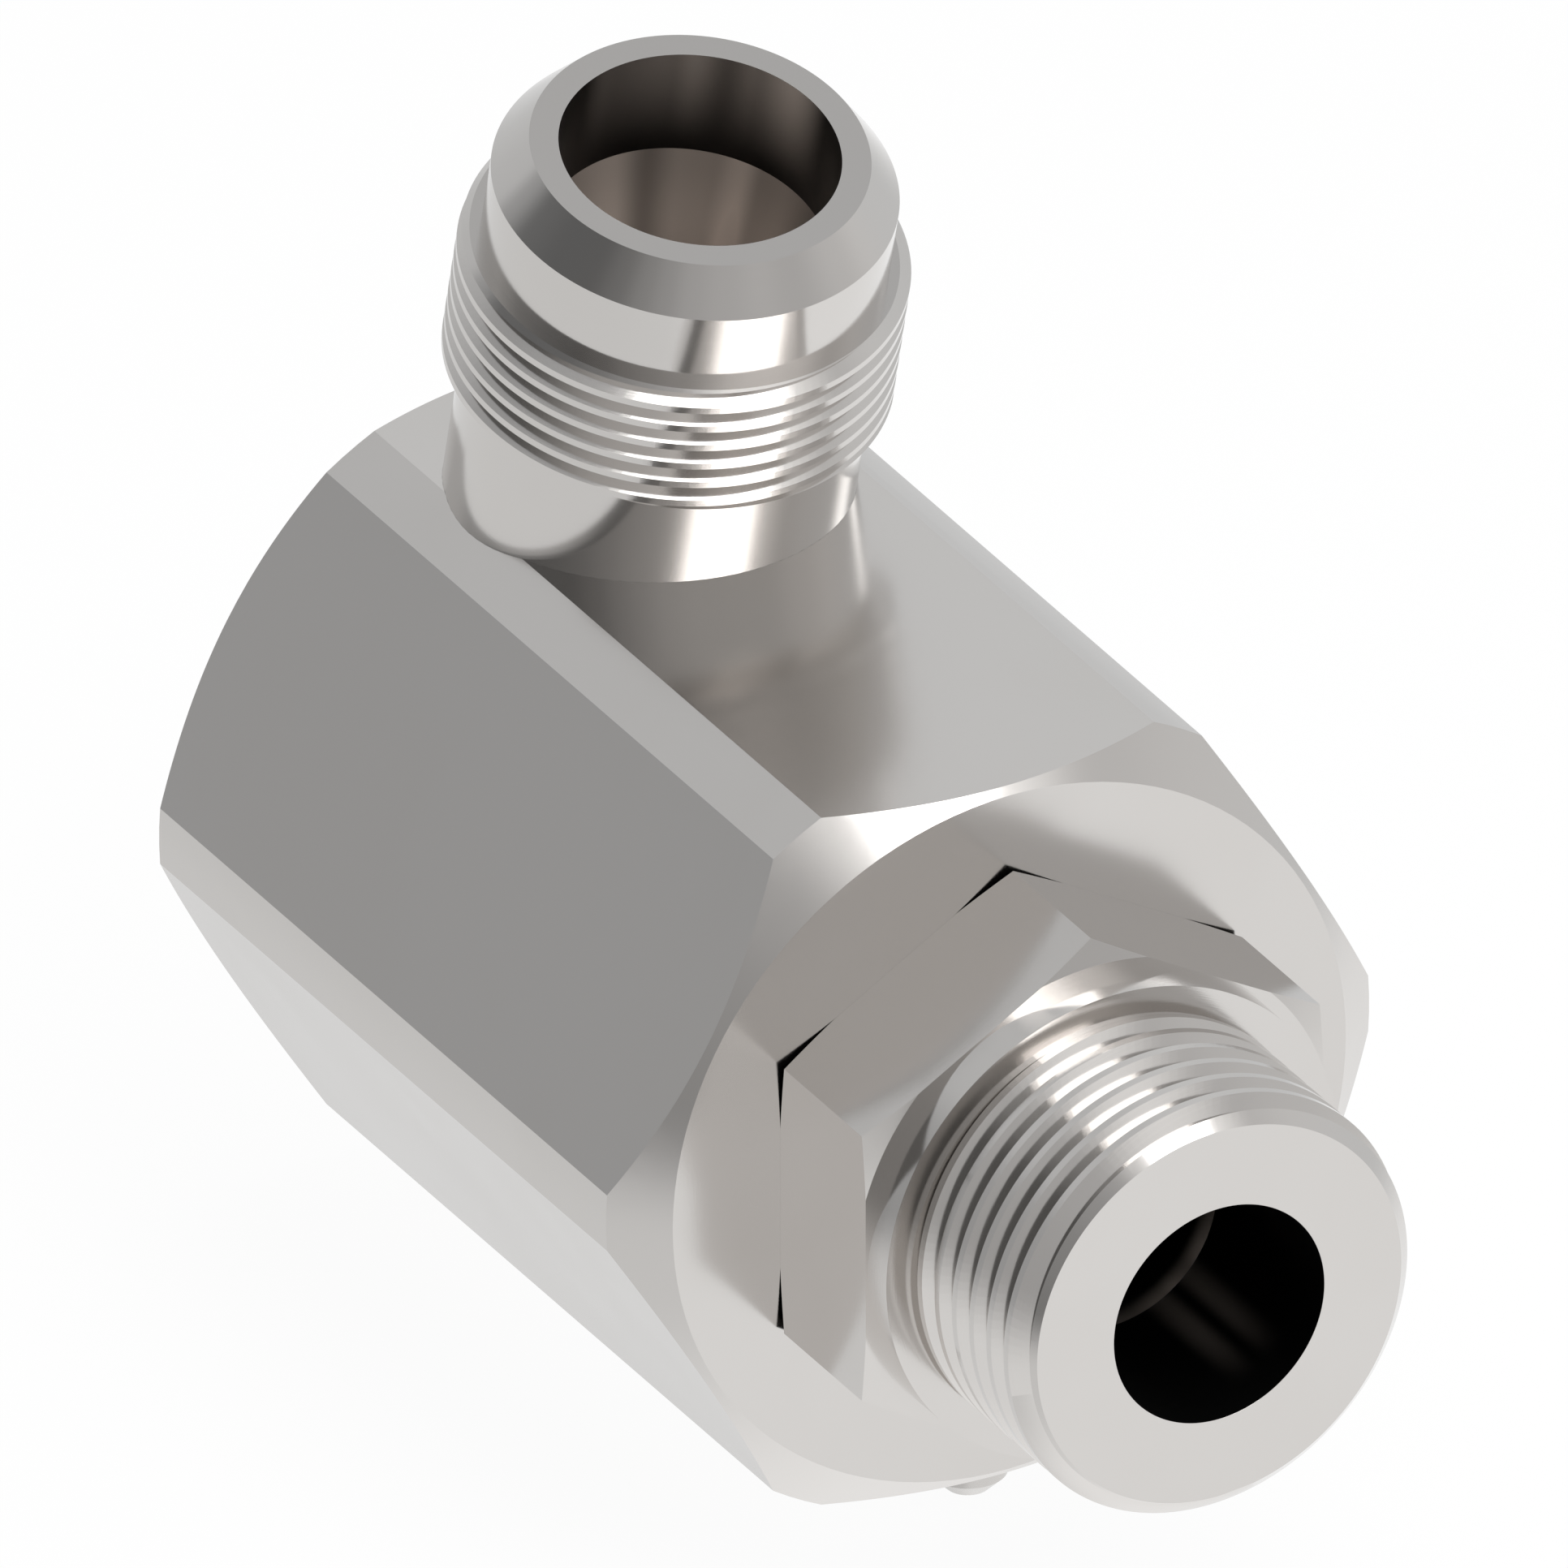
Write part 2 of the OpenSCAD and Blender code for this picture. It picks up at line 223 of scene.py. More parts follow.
class FinishGroups:
    """The node groups that several finishes share, each built once."""

    def __init__(self) -> None:
        """Starts with no group built."""
        self.built: dict[str, bpy.types.NodeTree] = {}

    def _new(self, name: str, inputs: dict[str, str], outputs: dict[str, str]
             ) -> tuple[NodeBoard, bpy.types.Node, bpy.types.Node]:
        """Makes an empty group with its sockets.

        Args:
            name: the group's name.
            inputs: socket types by input name.
            outputs: socket types by output name.

        Returns:
            The board, the group input node and the group output node.
        """
        tree = bpy.data.node_groups.new(name, "ShaderNodeTree")
        for label, kind in inputs.items():
            tree.interface.new_socket(name=label, in_out="INPUT", socket_type=kind)
        for label, kind in outputs.items():
            tree.interface.new_socket(name=label, in_out="OUTPUT", socket_type=kind)
        board = NodeBoard(tree)
        source = board.add("NodeGroupInput")
        self.built[name] = tree
        return board, source, board.add("NodeGroupOutput")

    def lathe_lines(self) -> bpy.types.NodeTree:
        """Builds the fine rings that turning leaves about the X axis.

        Returns:
            The group, with the inputs Place in millimetres and Pitch, and the output Height.
        """
        if "lathe_lines" in self.built:
            return self.built["lathe_lines"]
        board, source, sink = self._new(
            "lathe_lines",
            {"Place": "NodeSocketVector", "Pitch": "NodeSocketFloat"},
            {"Height": "NodeSocketFloat"})
        parts = board.add("ShaderNodeSeparateXYZ", Vector=source.outputs["Place"])
        radius = board.radius_about_x(parts)
        along = board.math("ADD", parts.outputs[0], radius)
        rate = board.math("DIVIDE", along, source.outputs["Pitch"])
        rings = board.add("ShaderNodeTexNoise", {"noise_dimensions": "1D"},
                          W=rate, Scale=1.0, Detail=3.0, Roughness=0.6)
        board.tree.links.new(rings.outputs[0], sink.inputs["Height"])
        return board.tree

    def brush_lines(self) -> bpy.types.NodeTree:
        """Builds the fine straight grain that a belt leaves along the X axis.

        Returns:
            The group, with the inputs Place in millimetres and Pitch, and the output Height.
        """
        if "brush_lines" in self.built:
            return self.built["brush_lines"]
        board, source, sink = self._new(
            "brush_lines",
            {"Place": "NodeSocketVector", "Pitch": "NodeSocketFloat"},
            {"Height": "NodeSocketFloat"})
        stretched = board.vector("MULTIPLY", source.outputs["Place"], (0.03, 1.0, 1.0))
        rate = board.math("DIVIDE", 1.0, source.outputs["Pitch"])
        scaled = board.add("ShaderNodeVectorMath", {"operation": "SCALE"},
                           i0=stretched, Scale=rate).outputs[0]
        grain = board.add("ShaderNodeTexNoise", {}, Vector=scaled, Scale=1.0, Detail=4.0,
                          Roughness=0.65)
        board.tree.links.new(grain.outputs[0], sink.inputs["Height"])
        return board.tree

    def handling_film(self) -> bpy.types.NodeTree:
        """Builds the soft uneven film that hands and oil leave on metal.

        Returns:
            The group, with the input Place in millimetres, and the output Film from 0 to 1.
        """
        if "handling_film" in self.built:
            return self.built["handling_film"]
        board, source, sink = self._new(
            "handling_film", {"Place": "NodeSocketVector"}, {"Film": "NodeSocketFloat"})
        broad = board.add("ShaderNodeTexNoise", {}, Vector=source.outputs["Place"],
                          Scale=0.055, Detail=3.0, Roughness=0.5, Distortion=0.4)
        film = board.ramp(broad.outputs[0], 0.38, 0.66, 0.0, 1.0)
        board.tree.links.new(film, sink.inputs["Film"])
        return board.tree

    def bore_place(self) -> bpy.types.NodeTree:
        """Builds the masks that say where a point lies in a bore about the X axis.

        Returns:
            The group, with the inputs Place, Radius, Mouth and Length in millimetres and the
            angle Lit in radians, and the outputs Inside, Depth, Past (the depth behind the
            straight wall) and Around, which is 0.5 at Lit and repeats every half turn.
        """
        if "bore_place" in self.built:
            return self.built["bore_place"]
        names = ("Radius", "Mouth", "Length", "Lit")
        inputs = {"Place": "NodeSocketVector", **{n: "NodeSocketFloat" for n in names}}
        outputs = {n: "NodeSocketFloat" for n in ("Inside", "Depth", "Past", "Around")}
        board, source, sink = self._new("bore_place", inputs, outputs)
        given = source.outputs
        parts = board.add("ShaderNodeSeparateXYZ", Vector=given["Place"])
        radius = board.radius_about_x(parts)
        depth = board.math("SUBTRACT", given["Mouth"], parts.outputs[0])
        near = board.math("LESS_THAN", radius, board.math("ADD", given["Radius"], BORE_REACH))
        inside = board.math("MULTIPLY", near, board.math("GREATER_THAN", depth, BORE_START))
        past = board.math("SUBTRACT", depth, given["Length"])
        turned = board.math("ARCTAN2", parts.outputs[2], parts.outputs[1])
        turned = board.math("SUBTRACT", turned, given["Lit"])
        around = board.math("FRACT", board.math("MULTIPLY_ADD", turned, 1 / math.pi, 0.5))
        for name, value in (("Inside", inside), ("Depth", depth), ("Past", past),
                            ("Around", around)):
            board.tree.links.new(value, sink.inputs[name])
        return board.tree


GROUPS = FinishGroups()


@dataclass(frozen=True)
class PaintedBoreShade:
    """Painted shade and painted light in a bore about the X axis, streaked along its length.

    The straight wall changes from top to deep between start and length, and the taper behind
    it changes from 1 to end over fade. The streaks are painted bright and dark levels at angles
    from lit, in degrees, and were worked out from the photograph's brightness. The shade tint
    colours the painted shade, the bore is made rougher, and the painted shade covers that much
    of the bare metal.
    """

    radius: float
    mouth: float
    start: float
    length: float
    top: float
    deep: float
    fade: float
    end: float
    lit: float
    wall: tuple[Point, ...]
    taper: tuple[Point, ...]
    # Tint of the painted shade, extra roughness in the bore, and how much metal the painted shade
    # covers
    shade_tint: Colour = (1.0, 0.86, 0.76)
    bore_roughness: float = 0.25
    paint_cover: float = 0.9

    def tone(self, board: NodeBoard, local: bpy.types.NodeSocket
             ) -> tuple[bpy.types.NodeSocket, bpy.types.NodeSocket]:
        """Adds the bore's nodes to a material.

        Args:
            board: the material's board.
            local: the place in millimetres, with the bore along X.

        Returns:
            The mask of the bore and its painted shade and light.
        """
        tree = GROUPS.bore_place()
        place = board.add("ShaderNodeGroup", {"node_tree": tree}, Place=local,
                          Radius=self.radius, Mouth=self.mouth, Length=self.length,
                          Lit=self.lit).outputs
        wall = board.profile(place["Around"], tuple((a / 180 + 0.5, v) for a, v in self.wall))
        down = board.ramp(place["Depth"], self.start, self.length, self.top, self.deep)
        wall = board.math("MULTIPLY", wall, down)
        taper = board.profile(place["Around"], tuple((a / 180 + 0.5, v) for a, v in self.taper))
        down = board.ramp(place["Past"], 0.0, self.fade, 1.0, self.end)
        taper = board.math("MINIMUM", board.math("MULTIPLY", taper, down), 1.0)
        on_taper = board.math("GREATER_THAN", place["Past"], 0.0)
        return place["Inside"], board.mix_value(on_taper, wall, taper)


@dataclass(frozen=True)
class CornerShade:
    """The near-black corner chamfers behind a hexagon about the X axis.

    The real steel is not dark there: it is painted shade, and makes the slits read black.
    """

    face_x: float
    face_radius: float
    slope: float
    thickness: float = 0.04
    colour: Colour = (0.012, 0.011, 0.01)

    def mask(self, board: NodeBoard, local: bpy.types.NodeSocket) -> bpy.types.NodeSocket:
        """Adds the nodes that find the chamfers.

        Args:
            board: the material's board.
            local: the place in millimetres, with the hexagon about X.

        Returns:
            1 on the chamfers and 0 elsewhere.
        """
        parts = board.add("ShaderNodeSeparateXYZ", Vector=local)
        radius = board.radius_about_x(parts)
        from_face = board.math("SUBTRACT", parts.outputs[0], self.face_x)
        cone = board.math("MULTIPLY_ADD", from_face, self.slope, self.face_radius)
        off = board.math("ABSOLUTE", board.math("SUBTRACT", radius, cone))
        return board.math("LESS_THAN", off, self.thickness)


@dataclass(frozen=True)
class MetalFinish:
    """Polished steel with its machining lines and a handling film.

    It may have painted shade and light in its bore and painted shade on its corner chamfers,
    which lie on X once the axis is turned and shifted.
    """

    name: str
    base: Colour = (0.662, 0.640, 0.620)
    roughness: float = 0.11
    marks: Marks = Marks.LATHE
    mark_pitch: float = 0.09
    mark_height: float = 0.0012
    mark_roughness: float = 0.02
    film_tint: Colour = (0.992, 0.99, 0.987)
    film_roughness: float = 0.025
    bore: PaintedBoreShade | None = None
    corners: CornerShade | None = None
    axis_turn: Triple = (0.0, 0.0, 0.0)
    axis_shift: Triple = (0.0, 0.0, 0.0)

    def material(self) -> bpy.types.Material:
        """Builds the metal.

        Returns:
            The new material.
        """
        material = bpy.data.materials.new(self.name)
        material.use_nodes = True
        board = NodeBoard(material.node_tree)
        place = board.add("ShaderNodeTexCoord").outputs["Object"]
        local = board.add("ShaderNodeMapping", {}, Vector=place, Location=self.axis_shift,
                          Rotation=self.axis_turn, Scale=TO_MM).outputs[0]
        tree = GROUPS.lathe_lines() if self.marks is Marks.LATHE else GROUPS.brush_lines()
        lines = board.add("ShaderNodeGroup", {"node_tree": tree}, Place=local,
                          Pitch=self.mark_pitch).outputs[0]
        film = board.add("ShaderNodeGroup", {"node_tree": GROUPS.handling_film()},
                         Place=local).outputs[0]
        rough = board.math("MULTIPLY_ADD", film, self.film_roughness, self.roughness)
        rough = board.math("MULTIPLY_ADD", lines, self.mark_roughness, rough)
        filmed = tuple(c * t for c, t in zip(self.base, self.film_tint))
        colour = board.mix_colour(film, (*self.base, 1.0), (*filmed, 1.0))
        metal = 1.0
        # Painted shade and painted light in the bore: a streaked tone that replaces most of the metal
        if self.bore:
            inside, shade = self.bore.tone(board, local)
            painted_bore = board.add("ShaderNodeVectorMath", {"operation": "SCALE"}, i0=self.bore.shade_tint,
                             Scale=shade).outputs[0]
            colour = board.mix_colour(inside, colour, painted_bore)
            rough = board.math("MULTIPLY_ADD", inside, self.bore.bore_roughness, rough)
            metal = board.math("MULTIPLY_ADD", inside, -self.bore.paint_cover, 1.0)
        # Painted shade on the hexagon's rear corner chamfers, where the slits lie in shadow
        if self.corners:
            dark = self.corners.mask(board, local)
            colour = board.mix_colour(dark, colour, (*self.corners.colour, 1.0))
        bump = board.add("ShaderNodeBump", {}, Strength=1.0, Distance=self.mark_height * MM,
                         Height=lines).outputs[0]
        shader = board.add("ShaderNodeBsdfPrincipled", {}, Base_Color=colour, Metallic=metal,
                           Roughness=rough, Normal=bump)
        board.add("ShaderNodeOutputMaterial", {}, Surface=shader.outputs[0])
        return material


@dataclass(frozen=True)
class SealFinish:
    """A moulded rubber or plastic ring, with a fine uneven skin."""

    name: str
    base: Colour
    roughness: float
    skin_scale: float = 4.0
    skin_height: float = 0.01
    skin_shade: float = 0.82
    skin_roughness: float = 0.12
    skin_strength: float = 0.6

    def material(self) -> bpy.types.Material:
        """Builds the seal material.

        Returns:
            The new material.
        """
        material = bpy.data.materials.new(self.name)
        material.use_nodes = True
        board = NodeBoard(material.node_tree)
        place = board.add("ShaderNodeTexCoord").outputs["Object"]
        local = board.add("ShaderNodeMapping", {}, Vector=place, Scale=TO_MM).outputs[0]
        skin = board.add("ShaderNodeTexNoise", {}, Vector=local, Scale=self.skin_scale,
                         Detail=4.0, Roughness=0.6).outputs[0]
        dark = tuple(c * self.skin_shade for c in self.base)
        tone = board.mix_colour(skin, (*self.base, 1.0), (*dark, 1.0))
        rough = board.math("MULTIPLY_ADD", skin, self.skin_roughness, self.roughness)
        bump = board.add("ShaderNodeBump", {}, Strength=self.skin_strength,
                         Distance=self.skin_height * MM, Height=skin).outputs[0]
        shader = board.add("ShaderNodeBsdfPrincipled", {}, Base_Color=tone, Roughness=rough,
                           Normal=bump)
        board.add("ShaderNodeOutputMaterial", {}, Surface=shader.outputs[0])
        return material


class Workpiece:
    """A solid in millimetres, shaped with mesh operators and then placed in the frame."""

    def __init__(self, name: str) -> None:
        """Starts an empty solid.

        Args:
            name: the object's name.
        """
        self.name = name
        self.shape = bmesh.new()

    def turn_ring(self, outline: list[Point]) -> None:
        """Turns a closed outline of (x, radius) about the X axis into a ring.

        Args:
            outline: the corners of the section, in order round it.
        """
        corners = [self.shape.verts.new((x, 0.0, r)) for x, r in outline]
        edges = [self.shape.edges.new((corners[i - 1], corners[i])) for i in range(len(corners))]
        bmesh.ops.spin(self.shape, geom=corners + edges, cent=(0, 0, 0), axis=(1, 0, 0),
                       dvec=(0, 0, 0), angle=math.tau, steps=STEPS_PER_TURN, use_merge=True)
        self.close()

    def sweep_groove(self, section: list[Point], pitch: float, turns: int) -> None:
        """Sweeps a small section of (x, radius) along a right-hand helix about the X axis.

        Args:
            section: the corners of the section at its first place.
            pitch: the advance along X in one turn.
            turns: how many turns it makes.
        """
        corners = [self.shape.verts.new((x, 0.0, r)) for x, r in section]
        edges = [self.shape.edges.new((corners[i - 1], corners[i])) for i in range(len(corners))]
        bmesh.ops.spin(self.shape, geom=corners + edges, cent=(0, 0, 0), axis=(1, 0, 0),
                       dvec=(pitch / STEPS_PER_TURN, 0, 0), angle=math.tau * turns,
                       steps=STEPS_PER_TURN * turns)
        ends = [e for e in self.shape.edges if e.is_boundary]
        bmesh.ops.holes_fill(self.shape, edges=ends, sides=len(section))
        self.close()

    def close(self) -> None:
        """Turns every face outwards."""
        bmesh.ops.recalc_face_normals(self.shape, faces=self.shape.faces)

    def to_object(self) -> bpy.types.Object:
        """Makes a loose object of the shape, still in millimetres.

        Returns:
            The object, linked to the scene.
        """
        mesh = bpy.data.meshes.new(self.name)
        self.shape.to_mesh(mesh)
        self.shape.free()
        made = bpy.data.objects.new(self.name, mesh)
        bpy.context.scene.collection.objects.link(made)
        return made


def cut_away(blank: bpy.types.Object, tool: bpy.types.Object, keep_common: bool = False) -> None:
    """Cuts one solid with another and removes the tool.

    Args:
        blank: the solid that keeps the result.
        tool: the solid that is cut out of it.
        keep_common: keeps only what the two share, instead of cutting the tool out.
    """
    step = blank.modifiers.new("cut", "BOOLEAN")
    step.operation = "INTERSECT" if keep_common else "DIFFERENCE"
    step.solver = "EXACT"
    step.object = tool
    bpy.context.view_layer.update()
    shaped = blank.evaluated_get(bpy.context.evaluated_depsgraph_get())
    old = blank.data
    blank.data = bpy.data.meshes.new_from_object(shaped)
    blank.data.name = blank.name
    blank.modifiers.clear()
    bpy.data.meshes.remove(old)
    bpy.data.objects.remove(tool)


def seat(piece: bpy.types.Object, place: Matrix, finish: bpy.types.Material, body: str,
         stands_for: str | None, sharp_at: float = 24.0) -> bpy.types.Object:
    """Places a finished solid in the frame and dresses it.

    Args:
        piece: the object, in millimetres.
        place: its place in the part's frame, in millimetres.
        finish: its material.
        body: the moving body that it rides on.
        stands_for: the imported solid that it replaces, if it does.
        sharp_at: edges sharper than this many degrees stay crisp.

    Returns:
        The same object.
    """
    piece.data.transform(Matrix.Scale(MM, 4) @ place)
    piece.data.materials.clear()
    piece.data.materials.append(finish)
    piece.data.shade_smooth()
    piece.data.set_sharp_from_angle(angle=math.radians(sharp_at))
    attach(piece, body)
    if stands_for:
        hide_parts(stands_for)
    LOG.info("%s: %d faces on %s", piece.name, len(piece.data.polygons), body)
    return piece


def dress(node: str, finish: bpy.types.Material) -> None:
    """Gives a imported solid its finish.

    Args:
        node: the solid's name.
        finish: its material.
    """
    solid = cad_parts[node]
    for slot in solid.material_slots:
        slot.material = finish
    LOG.info("%s: dressed as %s", node, finish.name)


@dataclass
class Thread:
    """A straight right-hand thread with flat crests, cut as one V groove."""

    radius: float
    pitch: float
    crest: float
    groove_at_top: float
    half_angle: float = 30.0
    overcut: float = 0.28

    @property
    def root_radius(self) -> float:
        """The radius at the bottom of the groove."""
        return self.radius - (self.pitch - self.crest) / 2 / math.tan(math.radians(self.half_angle))

    def cutter(self, name: str, back: int, turns: int) -> bpy.types.Object:
        """Makes the solid that cuts the groove.

        Args:
            name: the tool's name.
            back: how many turns behind groove_at_top it begins.
            turns: how many turns it makes.

        Returns:
            The tool, in millimetres.
        """
        mouth = (self.pitch - self.crest) / 2
        wide = mouth + self.overcut * math.tan(math.radians(self.half_angle))
        x = self.groove_at_top - back * self.pitch
        tool = Workpiece(name)
        tool.sweep_groove([(x, self.root_radius), (x + wide, self.radius + self.overcut),
                           (x - wide, self.radius + self.overcut)], self.pitch, turns)
        return tool.to_object()


@dataclass
class Stem:
    """The hollow stem: its threaded end, and the collar, hexagon and shank behind it."""

    thread: Thread = field(default_factory=lambda: Thread(16.65, 2.485, 0.665, -1.28))
    end_chamfer: float = 1.5
    collar_x: float = -15.15
    bore_radius: float = 8.75
    bore_edge: float = 0.01
    bore_len: float = 15.5
    taper_len: float = 5.0
    flow_radius: float = 8.0
    collar_radius: float = 18.95
    hexagon_flats: float = 38.1
    hexagon_front: float = -17.95
    hexagon_rear: float = -30.247
    face_radius: float = 19.95
    corner_chamfer: float = 0.55
    shank_x: float = -30.24
    joint_gap: float = 0.004
    blank_spare: float = 0.5
    bar_len: float = 60.0
    weld: float = 0.0004
    cut_width: float = 1e-5

    @property
    def corner_radius(self) -> float:
        """The radius of the hexagon's corners."""
        return self.hexagon_flats / 2 / math.cos(math.radians(30))

    @property
    def corner_slope(self) -> float:
        """How much the radius grows along X on the corner chamfers."""
        return (self.corner_radius - self.face_radius) / self.corner_chamfer

    def threaded_end(self, finish: bpy.types.Material) -> bpy.types.Object:
        """Builds the threaded end in front of the collar.

        Args:
            finish: its material.

        Returns:
            The piece.
        """
        r = self.thread.radius
        blank = Workpiece("stem_thread")
        blank.turn_ring([
            (self.collar_x, self.bore_radius), (-self.bore_edge, self.bore_radius),
            (0.0, self.bore_radius + self.bore_edge), (0.0, r - self.end_chamfer),
            (-self.end_chamfer, r), (self.collar_x, r)])
        piece = blank.to_object()
        cut_away(piece, self.thread.cutter("stem_groove", 6, 9))
        return seat(piece, Matrix.Identity(4), finish, "stem", "stem")

    def hexagon(self, finish: bpy.types.Material) -> bpy.types.Object:
        """Builds the round collar and the hexagon with its chamfered corners.

        Args:
            finish: its material.

        Returns:
            The piece.
        """
        corner = self.corner_radius
        start = self.collar_x - self.joint_gap
        blank_radius = corner + self.blank_spare
        blank = Workpiece("stem_hexagon")
        blank.turn_ring([
            (start, self.bore_radius), (start, self.collar_radius),
            (self.hexagon_front, self.collar_radius), (self.hexagon_front, self.face_radius),
            (self.hexagon_front - self.corner_chamfer, corner),
            (self.hexagon_front - self.corner_chamfer, blank_radius),
            (self.hexagon_rear + self.corner_chamfer, blank_radius),
            (self.hexagon_rear + self.corner_chamfer, corner),
            (self.hexagon_rear, self.face_radius), (self.hexagon_rear, self.flow_radius),
            (-self.bore_len - self.taper_len, self.flow_radius),
            (-self.bore_len, self.bore_radius)])
        piece = blank.to_object()
        bar = Workpiece("hexagon_bar")
        bmesh.ops.create_cone(bar.shape, cap_ends=True, segments=6, radius1=corner,
                              radius2=corner, depth=self.bar_len)
        turn = Euler((math.radians(90), 0, 0)).to_matrix() @ Euler((0, math.radians(90), 0)).to_matrix()
        bmesh.ops.rotate(bar.shape, cent=(0, 0, 0), matrix=turn, verts=bar.shape.verts)
        bmesh.ops.translate(bar.shape, verts=bar.shape.verts, vec=(self.hexagon_front, 0, 0))
        bar.close()
        cut_away(piece, bar.to_object(), keep_common=True)
        return seat(piece, Matrix.Identity(4), finish, "stem", "stem", sharp_at=9.0)

    def shank(self, finish: bpy.types.Material) -> bpy.types.Object:
        """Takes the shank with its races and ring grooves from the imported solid.

        Args:
            finish: its material.

        Returns:
            The piece.
        """
        shape = bmesh.new()
        shape.from_mesh(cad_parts["stem"].data)
        bmesh.ops.scale(shape, vec=TO_MM, verts=shape.verts)
        bmesh.ops.remove_doubles(shape, verts=shape.verts, dist=self.weld)
        whole = shape.verts[:] + shape.edges[:] + shape.faces[:]
        cut = bmesh.ops.bisect_plane(shape, geom=whole, dist=self.cut_width,
                                     plane_co=(self.shank_x, 0, 0), plane_no=(1, 0, 0),
                                     clear_outer=True)
        rim = [e for e in cut["geom_cut"] if isinstance(e, bmesh.types.BMEdge)]
        bmesh.ops.triangle_fill(shape, edges=rim, use_beauty=True, use_dissolve=True)
        mesh = bpy.data.meshes.new("stem_shank")
        shape.to_mesh(mesh)
        shape.free()
        piece = bpy.data.objects.new("stem_shank", mesh)
        bpy.context.scene.collection.objects.link(piece)
        return seat(piece, Matrix.Identity(4), finish, "stem", "stem")


@dataclass
class FlarePort:
    """The leaning stub with its thread and its 37 degree flare seat."""

    thread: Thread = field(default_factory=lambda: Thread(16.45, 1.79, 0.57, 50.66))
    tilt: float = 13.28
    foot_x: float = -88.8
    reach: float = 61.06
    shoulder: float = 9.12
    shoulder_radius: float = 15.7
    thread_len: float = 11.47
    neck_radius: float = 14.84
    nose_radius: float = 12.43
    flare_angle: float = 37.0
    bore_radius: float = 10.3
    bore_len: float = 9.06
    taper_len: float = 8.5
    flow_radius: float = 8.75
    seat_x: float = 23.305
    foot_top: float = 33.0
    foot_radius: float = 14.862

    @property
    def place(self) -> Matrix:
        """The turn and move from a stub lying on the X axis to its place on the body."""
        lean = Matrix.Rotation(math.radians(self.tilt - 90.0), 4, "Y")
        return Matrix.Translation((self.foot_x, 0, 0)) @ lean

    def build(self, finish: bpy.types.Material) -> bpy.types.Object:
        """Builds the stub lying on the X axis and stands it on the body.

        Args:
            finish: its material.

        Returns:
            The piece.
        """
        r = self.thread.radius
        shoulder_x = self.reach - self.shoulder
        cone = (self.neck_radius - self.nose_radius) / math.tan(math.radians(self.flare_angle))
        step = r - self.shoulder_radius
        blank = Workpiece("flare_port")
        blank.turn_ring([
            (self.seat_x, self.flow_radius), (self.seat_x, self.foot_radius),
            (self.foot_top, self.foot_radius),
            (shoulder_x - self.thread_len, self.neck_radius), (shoulder_x - self.thread_len, r),
            (shoulder_x - step, r), (shoulder_x, self.shoulder_radius),
            (shoulder_x, self.neck_radius), (self.reach - cone, self.neck_radius),
            (self.reach, self.nose_radius), (self.reach, self.bore_radius),
            (self.reach - self.bore_len, self.bore_radius),
            (self.reach - self.bore_len - self.taper_len, self.flow_radius)][::-1])
        piece = blank.to_object()
        cut_away(piece, self.thread.cutter("port_groove", 8, 11))
        return seat(piece, self.place, finish, "body", "port_adapter")


@dataclass
class Body:
    """The hexagon body, its ball plugs and its wiper ring."""

    plugs: tuple[str, ...] = ("front_ball_plug", "rear_ball_plug")

    def build(self) -> None:
        """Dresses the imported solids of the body."""
        steel = MetalFinish("body_steel", roughness=0.16, marks=Marks.STRAIGHT, mark_pitch=0.16)
        dress("housing", steel.material())
        pin = MetalFinish("plug_steel", base=(0.64, 0.62, 0.60), roughness=0.24).material()
        for plug in self.plugs:
            dress(plug, pin)
        dress("wiper_ring", SealFinish("wiper_rubber", (0.028, 0.028, 0.03), 0.5).material())


@dataclass
class Bearing:
    """The two rows of balls."""

    rows: tuple[str, ...] = ("front_balls", "rear_balls")

    def build(self) -> None:
        """Dresses both rows in mirror bright steel."""
        steel = MetalFinish("ball_steel", base=(0.74, 0.74, 0.75), roughness=0.07,
                            mark_pitch=0.4, mark_height=0.0002).material()
        for row in self.rows:
            dress(row, steel)


@dataclass
class Seals:
    """The rings in the shank's grooves."""

    rubber: tuple[str, ...] = ("grease_seal", "pressure_seal")
    backups: tuple[str, ...] = ("front_backup_ring", "rear_backup_ring")
    guides: tuple[str, ...] = ("front_guide_ring", "rear_guide_ring")

    def build(self) -> None:
        """Dresses the rings in rubber, white backup plastic and filled guide plastic."""
        black = SealFinish("seal_rubber", (0.022, 0.022, 0.024), 0.42).material()
        white = SealFinish("backup_plastic", (0.84, 0.83, 0.79), 0.38, 2.0, 0.006).material()
        green = SealFinish("guide_plastic", (0.13, 0.17, 0.14), 0.5, 9.0, 0.015).material()
        for names, finish in ((self.rubber, black), (self.backups, white), (self.guides, green)):
            for name in names:
                dress(name, finish)


